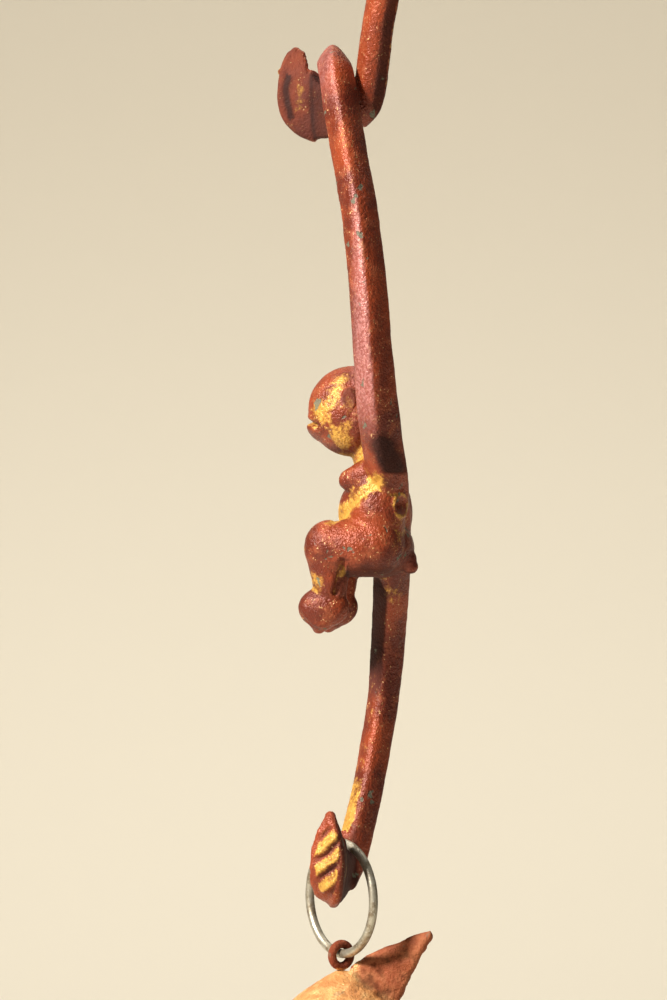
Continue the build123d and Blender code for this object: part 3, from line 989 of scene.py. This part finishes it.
copper = cast_paint("cast_copper_paint", DEEP_RED, RED, RED_BLUSH, GOLD, 0.9, 0.66)
bell_copper = cast_paint("bell_copper_paint", OCHRE_BROWN, OCHRE, PALE_OCHRE, BELL_GOLD, 0.4, 0.55)
steel = steel_wire("dull_steel_wire")

for piece, node, body, material in (
        (upper_link, "upper_monkey_link", "upper_link", copper),
        (lower_link, "lower_monkey_link", "lower_link", copper),
        (bell_skin, "bell", "bell_body", bell_copper),
        (ball_skin, "clapper_ball", "clapper", copper),
        (leaf_skin, "wind_leaf", "wind_catcher", copper)):
    piece.data.materials.clear()
    piece.data.materials.append(material)
    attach(piece, body)
    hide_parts(node)

for node in ("hanging_ring", "bell_ring", "clapper_staple", "clapper_wire", "wind_leaf_ring"):
    for slot in frame["nodes"][node].material_slots:
        slot.material = steel

# ---------------------------------------------------------------- stage, light and camera

VIEW_AZIMUTH = radians(100)
VIEW_ELEVATION = radians(-1)
FRAME_HEIGHT = 0.140           # height of the picture at the chime, in metres
LENS = 135.0
SENSOR = 36.0

right = Vector((cos(VIEW_AZIMUTH), sin(VIEW_AZIMUTH), 0))
back = Vector((sin(VIEW_AZIMUTH) * cos(VIEW_ELEVATION), -cos(VIEW_AZIMUTH) * cos(VIEW_ELEVATION),
               sin(VIEW_ELEVATION)))
up = back.cross(right)
centre = lower_origin - right * 0.00105 - Vector((0, 0, 0.0587))  # the middle of the picture

camera_data = bpy.data.cameras.new("camera")
camera_data.sensor_fit = "VERTICAL"
camera_data.sensor_height = SENSOR
camera_data.lens = LENS
camera = bpy.data.objects.new("camera", camera_data)
distance = FRAME_HEIGHT * LENS / SENSOR
turn = Matrix((right, up, back)).transposed().to_4x4()
camera.matrix_world = Matrix.Translation(centre + back * distance) @ turn
bpy.context.scene.collection.objects.link(camera)
bpy.context.scene.camera = camera


def studio_sweep():
    """Pale floor that curves up into a wall behind the chime, its colour darkening up the wall as painted
    shade.
    """
    floor = cad_box[0][2] - 0.12
    half = 2.2                 # from the middle to each side, and to the front
    bend = 0.5                 # radius of the curve between floor and wall
    behind = -1.1              # where the curve starts
    profile = [(half, floor)]
    for angle in np.linspace(0, pi / 2, 14):
        profile.append((behind - bend * sin(angle), floor + bend - bend * cos(angle)))
    profile.append((behind - bend, floor + 2.6))
    bm = bmesh.new()
    rows = [[bm.verts.new(back.normalized() * d + right * side + Vector((0, 0, z))) for side in (-half, half)]
            for d, z in profile]
    for low, high in zip(rows, rows[1:]):
        bm.faces.new((low[0], low[1], high[1], high[0]))
    obj = to_object(bm, "studio_sweep")
    for polygon in obj.data.polygons:
        polygon.use_smooth = True
    paint = Paint("pale_studio")
    height = paint.tree.nodes.new("ShaderNodeSeparateXYZ")
    paint.join(paint.place, height.inputs[0])
    # painted shade: the colour darkens from the floor up the wall
    wall_shade = paint.window(height.outputs["Z"], floor, floor + 0.8)
    paint.join(paint.mix(wall_shade, PALE_FLOOR, SHADED_WALL_COLOUR), paint.shader.inputs["Base Color"])
    paint.shader.inputs["Roughness"].default_value = 0.9
    obj.data.materials.append(paint.material)


def area_light(name, direction, distance, size, power, colour, aim=centre):
    """A round soft light.  Its direction from the chime is (right, up, towards the camera)."""
    data = bpy.data.lights.new(name, "AREA")
    data.shape = "DISK"
    data.size = size
    data.energy = power
    data.color = colour
    lamp = bpy.data.objects.new(name, data)
    towards = (right * direction[0] + Vector((0, 0, direction[1])) + back * direction[2]).normalized()
    lamp.location = centre + towards * distance
    lamp.rotation_euler = (lamp.location - aim).to_track_quat("Z", "Y").to_euler()
    bpy.context.scene.collection.objects.link(lamp)


studio_sweep()
area_light("key", (-0.85, 0.75, 0.70), 0.9, 0.16, 22.0, (1.0, 0.95, 0.87))
area_light("fill", (0.9, 0.1, 0.8), 1.2, 0.9, 0.5, (1.0, 0.95, 0.88))
wall_middle = centre - back * 1.6 - up * 0.2
area_light("wall", (0.0, 0.9, -0.5), 1.0, 1.2, 11.6, (1.0, 0.96, 0.88), wall_middle)
bpy.context.scene.view_settings.view_transform = "Standard"
world = bpy.data.worlds.new("soft_room")
world.use_nodes = True
world.node_tree.nodes["Background"].inputs[0].default_value = (0.86, 0.82, 0.74, 1)
world.node_tree.nodes["Background"].inputs[1].default_value = 0.15
bpy.context.scene.world = world
